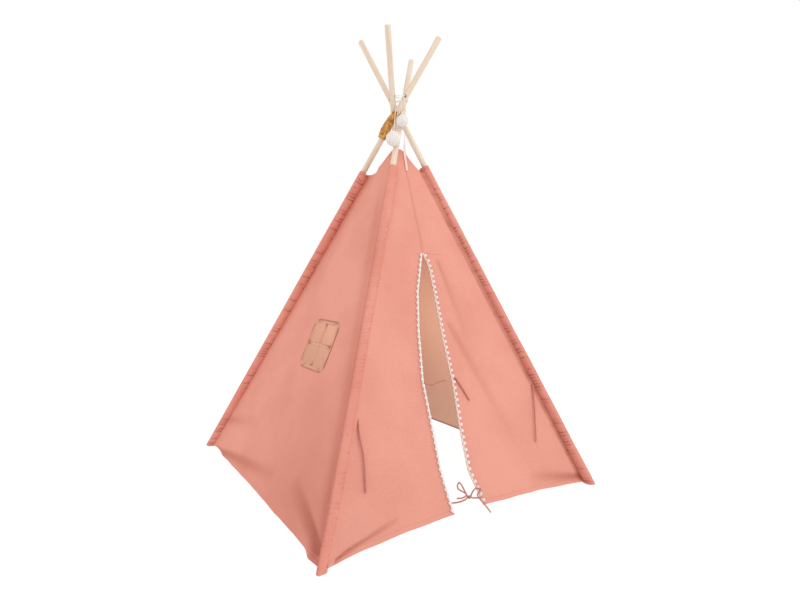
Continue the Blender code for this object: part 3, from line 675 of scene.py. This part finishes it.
def cloth_sheet(side, left_edge, right_edge, top_at, hem_at=hem_height):
    """A grid of canvas laid between two edges of a side, with its cut and hem coordinates."""
    width = right_edge(0.02) - left_edge(0.02)
    columns = max(4, round(width / cloth_cell))
    rows = round(sheet_length / cloth_cell)
    low_rows = round(rows * share_below_point)
    work = bmesh.new()
    bmesh.ops.create_grid(work, x_segments=columns, y_segments=rows, size=1)
    cut, hem, crease = canvas_layers(work)
    work.verts.layers.float.new("inside")
    settled = {}
    for vertex in work.verts:
        share = (vertex.co.x + 1) / 2
        row = round((vertex.co.y + 1) / 2 * rows)
        height = slit_apex_height
        for settle in range(6):
            across = blend(left_edge(height), right_edge(height), share)
            low = hem_at(side, across)
            high = top_at(side, across, height)
            if high <= slit_apex_height:
                share_up = row / rows
                height = blend(low, high, share_up * (0.5 + 0.5 * share_up))
            elif row <= low_rows:
                share_up = row / low_rows
                height = blend(low, slit_apex_height, share_up * (0.5 + 0.5 * share_up))
            else:
                share_up = (row - low_rows - 1) / (rows - low_rows - 1)
                height = blend(slit_apex_height + seam_start, high, share_up)
        settled[vertex] = (across, height, min(height - low, high - height))
        vertex[crease] = cloth_painted_shade(side, across, height)
        vertex.co = on_side(side, across, height, cloth_lift(side, across, height))
    for face in work.faces:
        for loop in face.loops:
            across, height, edge = settled[loop.vert]
            loop[cut].uv = (across, height / math.cos(cover_slope))
            loop[hem].uv = (across, edge)
    return work, settled


def cut_size(work, settled):
    """Flat size of a sheet of the cover, from its smallest turned rectangle, and its area."""
    area = sum(face.calc_area() for face in work.faces)
    slope = math.cos(cover_slope)
    places = [Vector((across, height / slope)) for across, height, edge in settled.values()]
    sizes = []
    for degrees in range(-45, 46, 3):
        along = Vector((-math.sin(math.radians(degrees)), math.cos(math.radians(degrees))))
        lengths = [place.dot(along) for place in places]
        widths = [place.cross(along) for place in places]
        sizes.append((max(widths) - min(widths), max(lengths) - min(lengths)))
    return min(sizes, key=lambda size: size[0] * size[1]), round(area, 4)


def gather(piece):
    """Give a piece on one side of the cover its own copy of its mesh."""
    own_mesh(piece)


def sew_cloth(name, work, body, nodes):
    """Finish a sheet of the cover."""
    piece = finish_piece(name, work, cover_canvas, body, nodes, wall=sewn_wall)
    gather(piece)
    return piece


cover_canvas = canvas("cover_canvas", canvas_dark, canvas_light, cover_hem)
sleeve_edge = 0.004
whole_sides = {
    "left": ["canvas_sleeve_back_left", "canvas_sleeve_front_left"],
    "right": ["canvas_sleeve_front_right", "canvas_sleeve_back_right"],
    "back": ["canvas_sleeve_back_right", "canvas_sleeve_back_left"],
}
for side, held_by in whole_sides.items():
    past_pole = 0.010 if side == "left" else 0
    work, settled = cloth_sheet(
        side,
        lambda height: -half_width(height) + sleeve_edge,
        lambda height: (
            half_width(height) - sleeve_edge + past_pole * smoothstep(1.24, 1.29, height)
        ),
        top_height,
    )
    if side == "left":
        gone = []
        for face in work.faces:
            across = sum(settled[vertex][0] for vertex in face.verts) / len(face.verts)
            height = sum(settled[vertex][1] for vertex in face.verts) / len(face.verts)
            beside = abs(across - window_across)
            if beside < window_width / 2 and window_low < height < window_high:
                gone.append(face)
        bmesh.ops.delete(work, geom=gone, context="FACES")
    flat, area = cut_size(work, settled)
    panel = sew_cloth("canvas_" + side, work, "cover_" + side, ["panel_" + side])

front_edges = {
    "left": (
        lambda height: -half_width(height) + sleeve_edge,
        lambda height: middle_seam(height) - seam_or_crease(left_crease_reach, height),
    ),
    "right": (
        lambda height: middle_seam(height) + seam_or_crease(right_crease_reach, height),
        lambda height: half_width(height) - sleeve_edge,
    ),
}
for hand, edges in front_edges.items():
    work, settled = cloth_sheet("front", *edges, top_height)
    flat, area = cut_size(work, settled)
    name = "canvas_front_" + hand
    panel = sew_cloth(name, work, "cover_front", ["panel_front_" + hand])
    held_by = ["canvas_sleeve_front_" + hand]

# Door flaps: the front canvas on each side of the slit, which folds back along a crease that is
# only pressed in, not sewn. Each flap hangs free from the slit's point to the hem.
flap_edges = {
    "left": (lambda height: -crease_at(left_crease_reach, height), slit_left),
    "right": (slit_right, lambda height: crease_at(right_crease_reach, height)),
}
for hand, edges in flap_edges.items():
    work, settled = cloth_sheet("front", *edges, lambda side, across, height: slit_apex_height)
    cut_size(work, settled)
    name = "canvas_flap_" + hand
    sew_cloth(name, work, "flap_" + hand, ["door_flap_" + hand])

# Window: a square opening bound with a folded canvas strip, with two tapes sewn across it from
# edge to edge. All of it lies flat on the outside of the left panel.
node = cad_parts["window_binding"]
work = bmesh.new()
work.from_mesh(node.data)
bmesh.ops.remove_doubles(work, verts=work.verts, dist=0.00001)
bmesh.ops.dissolve_limit(work, angle_limit=math.radians(1), verts=work.verts, edges=work.edges)
bmesh.ops.triangulate(work, faces=work.faces)
long_edges = [edge for edge in work.edges if edge.calc_length() > 0.02]
bmesh.ops.subdivide_edges(work, edges=long_edges, cuts=3)
cut, hem, crease = canvas_layers(work)
for face in work.faces:
    for loop in face.loops:
        place = loop.vert.co
        loop[cut].uv = (place.y, place.z)
        loop[hem].uv = (place.y, 1)
window_middle = Vector((-window_across, (window_low + window_high) / 2))
ring_half = Vector((
    max(abs(vertex.co.y - window_middle.x) for vertex in work.verts),
    max(abs(vertex.co.z - window_middle.y) for vertex in work.verts),
))
for vertex in work.verts:
    beside = abs(vertex.co.y - window_middle.x)
    above = abs(vertex.co.z - window_middle.y)
    to_rim = min(ring_half.x - beside, ring_half.y - above)
    # painted shade along the outer rim of the binding, and painted shadow at the tape ends and
    # where the tapes cross
    vertex[crease] = 0.9 * (1 - smoothstep(0.002, 0.007, to_rim))
    tape_end = (beside > 0.070 and above < 0.012) or (above > 0.062 and beside < 0.012)
    if tape_end or max(beside, above) < 0.006:
        vertex[crease] = 1
binding_dark = (0.66, 0.33, 0.235)
binding_light = (0.71, 0.37, 0.27)
binding_canvas = canvas("binding_canvas", binding_dark, binding_light, cover_hem)
name = "window_tapes"
binding = finish_piece(name, work, binding_canvas, "cover_left", ["window_binding"])
gather(binding)

# Bobble lace: a narrow white tape stitched to each edge of the slit, from its point to the hem,
# with a soft cotton ball every two centimetres on the side away from the opening.
bobble_radius = 0.0062
bobble_spacing = 0.0205
lace_tape_widths = {"left": 0.0068, "right": 0.0045}
lace_tape_thickness = 0.0008
lace_inset = 0.001
lace_above_hem = 0.006
lace_row = 0.006
yarn_dark = (0.68, 0.61, 0.56)
yarn_light = (0.88, 0.84, 0.80)
yarn_white, tree, shader = new_material("yarn_white", 0.95)
shader.inputs["Sheen Weight"].default_value = 0.4
fluff = noise_from(tree, object_place(tree), 380, 4)
wire(tree, tones_from(tree, fluff, yarn_dark, yarn_light, 0.30, 0.60), (shader, "Base Color"))
wire(tree, bump_from(tree, fluff, 0.0012, 0.8), (shader, "Normal"))

lace_edges = {"left": (slit_left, -1), "right": (slit_right, 1)}
for hand, (edge, away) in lace_edges.items():
    tape_width = lace_tape_widths[hand]
    low = hem_height("front", edge(0.03)) + lace_above_hem
    high = slit_apex_height + 0.001
    work = bmesh.new()
    tape_rows = round((high - low) / lace_row)
    bmesh.ops.create_grid(work, x_segments=2, y_segments=tape_rows, size=1)
    for vertex in work.verts:
        height = blend(low, high, (vertex.co.y + 1) / 2)
        across = edge(height) + away * (lace_inset + tape_width * (vertex.co.x + 1) / 2)
        raised = 0.0012 if vertex.co.x > -0.5 else 0.0008
        vertex.co = on_side("front", across, height, cloth_lift("front", across, height) + raised)
    bmesh.ops.recalc_face_normals(work, faces=work.faces)
    bmesh.ops.solidify(work, geom=list(work.faces), thickness=lace_tape_thickness)
    count = round((high - low) / bobble_spacing)
    for index in range(count):
        height = blend(low, high, (index + 0.5) / count)
        across = edge(height) + away * (2 * lace_inset + tape_width)
        lift = cloth_lift("front", across, height) + bobble_radius * 0.75
        centre = on_side("front", across, height, lift)
        ball = bmesh.ops.create_icosphere(work, subdivisions=2, radius=bobble_radius)
        for vertex in ball["verts"]:
            way = vertex.co.normalized()
            tuft = 1 + 0.10 * noise.noise(way * 3.1 + Vector((index * 1.7, away, 0)))
            vertex.co = centre + vertex.co * tuft
    name = "bobble_lace_" + hand
    lace = finish_piece(name, work, yarn_white, "flap_" + hand, ["lace_" + hand])
    gather(lace)

# Ties: narrow strings sewn from the cover's canvas. A pair is knotted in a bow at the foot of the
# slit, a pair hangs half way up, and one hangs at each front seam to hold a flap back.
tie_diameter = 0.005
tie_routes = {
    "bottom_tie_left": ("flap_left", [
        (-0.1165, 0.068, 0.004), (-0.08, 0.065, 0.0045), (-0.0475, 0.071, 0.005),
        (-0.056, 0.093, 0.009), (-0.073, 0.121, 0.012), (-0.087, 0.106, 0.014),
        (-0.057, 0.083, 0.016), (-0.078, 0.076, 0.019), (-0.103, 0.079, 0.02)]),
    "bottom_tie_right": ("flap_right", [
        (0.0158, 0.06, 0.004), (-0.005, 0.062, 0.0045), (-0.0305, 0.07, 0.005),
        (-0.012, 0.09, 0.011), (0.012, 0.085, 0.014), (-0.01, 0.07, 0.017),
        (0.012, 0.04, 0.017), (0.036, 0.01, 0.013)]),
    "mid_tie_left": ("flap_left", [
        (-0.135, 0.443, 0.004), (-0.1, 0.435, 0.006), (-0.07, 0.442, 0.009),
        (-0.042, 0.444, 0.012)]),
    "mid_tie_right": ("flap_right", [
        (0.0125, 0.45, 0.0029), (0.033, 0.415, 0.0045), (0.058, 0.368, 0.0042)]),
    "tie_back_left": ("frame_front_left", [
        (-0.418, 0.37, 0.0028), (-0.425, 0.315, 0.006), (-0.422, 0.25, 0.007),
        (-0.433, 0.158, 0.006)]),
    "tie_back_right": ("frame_front_right", [
        (0.417, 0.393, 0.0028), (0.4, 0.332, 0.006), (0.36, 0.209, 0.007),
        (0.352, 0.188, 0.006)]),
}
tie_dark = (0.38, 0.125, 0.095)
tie_light = (0.58, 0.22, 0.165)
tie_canvas, tree, shader = new_material("tie_canvas", 0.9)
woven = noise_from(tree, object_place(tree), 300)
wire(tree, tones_from(tree, woven, tie_dark, tie_light, 0.32, 0.66), (shader, "Base Color"))
wire(tree, bump_from(tree, woven, 0.0006), (shader, "Normal"))


def smooth_route(route, spacing):
    """Points of an even spacing on a smooth curve through a route."""
    stops = [Vector(stop) for stop in route]
    ends = [stops[0] * 2 - stops[1], *stops, stops[-1] * 2 - stops[-2]]
    path = [stops[0]]
    for leg in range(len(stops) - 1):
        before, start, finish, after = ends[leg:leg + 4]
        count = max(2, round((finish - start).length / spacing))
        for step in range(1, count + 1):
            t = step / count
            bend = (finish - before) * t + (before * 2 - start * 5 + finish * 4 - after) * t ** 2
            path.append(start + (bend + (start * 3 - before - finish * 3 + after) * t ** 3) / 2)
    return path


def cord_work(path, radius):
    """A round tube along a path, from a circle that is extruded step by step and closed."""
    work = bmesh.new()
    ahead = (path[1] - path[0]).normalized()
    turn = ahead.to_track_quat("Z", "Y").to_matrix().to_4x4()
    turn.translation = path[0]
    bmesh.ops.create_circle(work, cap_ends=True, segments=12, radius=radius, matrix=turn)
    cap = [face for face in work.faces]
    for index in range(1, len(path)):
        grown = bmesh.ops.extrude_face_region(work, geom=cap)
        ring = [item for item in grown["geom"] if isinstance(item, bmesh.types.BMVert)]
        cap = [item for item in grown["geom"] if isinstance(item, bmesh.types.BMFace)]
        onward = path[min(index + 1, len(path) - 1)] - path[index - 1]
        swing = ahead.rotation_difference(onward.normalized()).to_matrix().to_4x4()
        move = Matrix.Translation(path[index]) @ swing @ Matrix.Translation(-path[index - 1])
        bmesh.ops.transform(work, matrix=move, verts=ring)
        ahead = onward.normalized()
    bmesh.ops.recalc_face_normals(work, faces=work.faces)
    return work


bow_knot_radius = 0.0062
bow_knot_middle = on_side("front", -0.039, 0.071, 0.006)
work = bmesh.new()
bmesh.ops.create_icosphere(work, subdivisions=4, radius=bow_knot_radius)
for vertex in work.verts:
    way = vertex.co.normalized()
    wound = 0.5 + 0.5 * math.sin(9 * math.atan2(way.z, way.x) + 5 * way.y)
    vertex.co = bow_knot_middle + vertex.co * (0.86 + 0.14 * wound)
knot = finish_piece("bow_middle", work, tie_canvas, "flap_right", ["bow_knot"])
gather(knot)
for name, (body, route) in tie_routes.items():
    path = smooth_route([on_side("front", *stop) for stop in route], tie_diameter * 0.8)
    work = cord_work(path, tie_diameter / 2)
    tie = finish_piece("string_" + name, work, tie_canvas, body, [name])
    if body.startswith("flap"):
        gather(tie)

# Crown cord: a thin white cord that runs through the four drilled holes and is knotted, so that
# the poles cross and turn on it.
crown_cord_radius = 0.0017
crown_bend = 0.005
knot_along = -0.008
knot_reach = 0.0028
knot_scale = 0.00125
knot_cord_radius = 0.0016
knot_steps = 48


def on_crown(corner, along):
    """Place on the straight run of the crown cord through one pole's hole."""
    axes = pole_frame(corner)
    return axes @ Vector((0, 0, hole_along)) + axes.to_3x3().col[1] * (along - pole_offset)


crown_path = [on_crown("back_left", knot_along + knot_reach)]
for quarter in (1, 2, 3, 4):
    middle_turn = (2 * quarter + 1) * math.pi / 4 + math.pi / 4 - foot_turn
    reach = (hole_reach - crown_bend) * math.sqrt(2)
    middle = Vector((reach * math.cos(middle_turn), reach * math.sin(middle_turn), hole_height))
    for step in range(7):
        turn = middle_turn + (step / 6 - 0.5) * math.pi / 2
        crown_path.append(middle + Vector((math.cos(turn), math.sin(turn), 0)) * crown_bend)
crown_path.append(on_crown("back_left", knot_along - knot_reach))
work = cord_work(crown_path, crown_cord_radius)
crown = finish_piece("white_cord_ring", work, yarn_white, "crown", ["crown_cord"])
knot_middle = on_crown("back_left", knot_along)
knot_path = []
for step in range(knot_steps + 1):
    t = 2 * math.pi * step / knot_steps
    across_loop = Vector((math.sin(t) + 2 * math.sin(2 * t), math.cos(t) - 2 * math.cos(2 * t)))
    knot_path.append(knot_middle + Vector((*across_loop, -math.sin(3 * t))) * knot_scale)
work = cord_work(knot_path, knot_cord_radius)
crown_knot = finish_piece("cord_knot", work, yarn_white, "crown", ["crown_knot"])

# Pompoms: two balls of white wool yarn, clipped round, each on a thin cord from the crown. They
# hang against the outside of the front left pole.
pompoms = {
    "high": ("upper", (0.0340, 0.0165, 1.664), 0.025, -0.018),
    "low": ("lower", (0.0426, -0.0055, 1.556), 0.031, 0.0),
}
string_radius = 0.001
string_off_cord = 0.0037
string_steps = 14
for level, (node, place, radius, hang) in pompoms.items():
    body = "pompom_" + level
    centre = pole_frame("front_left") @ Vector(place)
    pivot = on_crown("back_right", hang)
    work = bmesh.new()
    bmesh.ops.create_icosphere(work, subdivisions=6, radius=radius)
    for vertex in work.verts:
        way = vertex.co.normalized()
        tuft = noise.noise(way * 9 + Vector((hang * 50, 1, 2)))
        pile = noise.noise(way * 26 + Vector((4, hang * 90, 1)))
        strand = noise.noise(way * 60 + Vector((1, 2, hang * 30)))
        vertex.co = centre + vertex.co * (0.955 + 0.035 * tuft + 0.045 * pile + 0.03 * strand)
    finish_piece("wool_pompom_" + level, work, yarn_white, body, ["pompom_" + node])
    way = (centre - pivot).normalized()
    start = pivot + way * string_off_cord
    finish = centre - way * (radius - 0.001)
    path = [start + (finish - start) * (step / string_steps) for step in range(string_steps + 1)]
    work = cord_work(path, string_radius)
    nodes = ["pompom_cord_" + node]
    cord = finish_piece("pompom_string_" + level, work, yarn_white, body, nodes)

# Ribbon: a narrow pale satin ribbon that hangs from the crown cord over the neck of the cover,
# just to the right of the front left pole.
ribbon_width = 0.009
gathered_width_share = 0.35
ribbon_thickness = 0.0006
ribbon_curl = 0.0006
ribbon_way = Vector((0.88, -0.47, 0))
ribbon_route = [
    (-0.0055, -0.0467, 1.5851),
    (0.0060, -0.0492, 1.5300),
    (0.0080, -0.0470, 1.4780),
    (0.0040, -0.0510, 1.4100),
    (-0.0050, -0.0680, 1.3450),
    (-0.0110, -0.0925, 1.2900),
    (-0.0130, -0.1015, 1.2620),
]
path = smooth_route(ribbon_route, 0.004)
work = bmesh.new()
bmesh.ops.create_grid(work, x_segments=4, y_segments=len(path) - 1, size=1)
for vertex in work.verts:
    row = round((vertex.co.y + 1) / 2 * (len(path) - 1))
    curl = ribbon_curl * vertex.co.x ** 2
    spread_share = blend(1, gathered_width_share, smoothstep(1.36, 1.41, path[row].z))
    half_across = ribbon_width / 2 * spread_share
    vertex.co = path[row] + ribbon_way * (vertex.co.x * half_across)
    vertex.co.y -= curl
satin_dark = (0.80, 0.58, 0.54)
satin_light = (0.90, 0.72, 0.68)
satin, tree, shader = new_material("ribbon_satin", 0.45)
shader.inputs["Sheen Weight"].default_value = 0.3
streak = tree.nodes.new("ShaderNodeTexWave")
streak.bands_direction = "Z"
streak.inputs["Scale"].default_value = 180
wire(tree, object_place(tree), (streak, "Vector"))
wire(tree, tones_from(tree, (streak, "Fac"), satin_dark, satin_light), (shader, "Base Color"))
name = "satin_ribbon"
ribbon = finish_piece(name, work, satin, "crown", ["ribbon"], wall=ribbon_thickness)

# Cloth wrap: a strip of mustard cloth bunched round the outside of the back left pole below the
# crossing, held by its own folds.
mustard_dark = (0.29, 0.115, 0.018)
mustard_light = (0.66, 0.33, 0.085)
mustard, tree, shader = new_material("mustard_cloth", 0.85)
# painted shade in the hollows of the folds and painted highlight on their ridges, from the noise
# that also raises them
folds = noise_from(tree, object_place(tree), 70, 5)
tones = tones_from(tree, folds, mustard_dark, mustard_light, 0.34, 0.62)
wire(tree, tones, (shader, "Base Color"))
wire(tree, bump_from(tree, folds, 0.003), (shader, "Normal"))
wrap_low = 1.412
wrap_middle_turn = math.radians(84)
wrap_bulge = 0.014
wrap_off_pole = 0.004
wrap_thickness = 0.002
wrap_spread_shares = [1, 1, 0.98, 0.95, 0.90, 0.82, 0.70, 0.55, 0.38]
wrap_row_pitch = 0.0157
wrap_steps = len(wrap_spread_shares) - 1
axes = pole_frame("back_left")
work = bmesh.new()
bmesh.ops.create_grid(work, x_segments=72, y_segments=72, size=1)
for vertex in work.verts:
    around = vertex.co.x
    climb = (vertex.co.y + 1) / 2 * wrap_steps
    step = min(int(climb), wrap_steps - 1)
    share = blend(wrap_spread_shares[step], wrap_spread_shares[step + 1], climb - step)
    turn = wrap_middle_turn + around * share * math.pi / 2
    along = wrap_low / math.cos(lean) + climb * wrap_row_pitch
    swell = wrap_bulge * (1 - around ** 2) * math.sin(math.pi * (climb + 1) / (wrap_steps + 2))
    crumple = 0.0016 * noise.noise(Vector((math.cos(turn) * 3, math.sin(turn) * 3, along * 30)))
    crumple += 0.0018 * math.sin(10 * turn + 8 * along + 2 * math.sin(23 * along))
    out = pole_radius + wrap_off_pole + swell + crumple
    vertex.co = axes @ Vector((out * math.cos(turn), out * math.sin(turn), along))
bmesh.ops.recalc_face_normals(work, faces=work.faces)
area = sum(face.calc_area() for face in work.faces)
wrap_height = wrap_steps * wrap_row_pitch
name = "mustard_wrap"
body = "frame_back_left"
wrap = finish_piece(name, work, mustard, body, ["wrap"], wall=wrap_thickness)
flat = (area / wrap_height, wrap_height)

# Studio: a plain pale floor in a white surround, a broad soft light from the upper right, a
# warm one from the left, and a faint one inside the tent for the glow of light through canvas.
floor_size = 30
floor_drop = 0.0005
floor_colour = (0.12, 0.12, 0.12)
floor_glow = 0.93
lamp_aim = Vector((0, 0, 0.7))
work = bmesh.new()
bmesh.ops.create_grid(work, x_segments=1, y_segments=1, size=floor_size)
floor_mesh = bpy.data.meshes.new("studio_floor")
work.to_mesh(floor_mesh)
work.free()
pale, tree, shader = new_material("pale_floor", 0.9)
shader.inputs["Base Color"].default_value = (*floor_colour, 1)
shader.inputs["Emission Color"].default_value = (*plain_white, 1)
shader.inputs["Emission Strength"].default_value = floor_glow
floor_mesh.materials.append(pale)
floor = bpy.data.objects.new("studio_floor", floor_mesh)
floor.location = (0, 0, -floor_drop)
bpy.context.scene.collection.objects.link(floor)
surround = bpy.data.worlds.new("surround")
surround.use_nodes = True
background = surround.node_tree.nodes["Background"]
background.inputs["Color"].default_value = (*plain_white, 1)
background.inputs["Strength"].default_value = 1.0
bpy.context.scene.world = surround
lamps = {
    "key_light": ("AREA", (1.6, -3.4, 3.6), 2.6, 40, plain_white),
    "side_light": ("AREA", (-3.6, -0.6, 1.7), 2.0, 8, (1, 0.74, 0.68)),
    "inner_glow": ("POINT", (0, 0.05, 0.50), 0.3, 5.0, (0.97, 1, 0.97)),
}
for name, (kind, place, size, watts, colour) in lamps.items():
    lamp = bpy.data.lights.new(name, kind)
    lamp.energy = watts
    lamp.color = colour
    if kind == "AREA":
        lamp.size = size
    else:
        lamp.shadow_soft_size = size
    light = bpy.data.objects.new(name, lamp)
    bpy.context.scene.collection.objects.link(light)
    light.location = place
    light.rotation_euler = (Vector(place) - lamp_aim).to_track_quat("Z", "Y").to_euler()
    light.visible_camera = False
bpy.context.scene.view_settings.view_transform = "Standard"
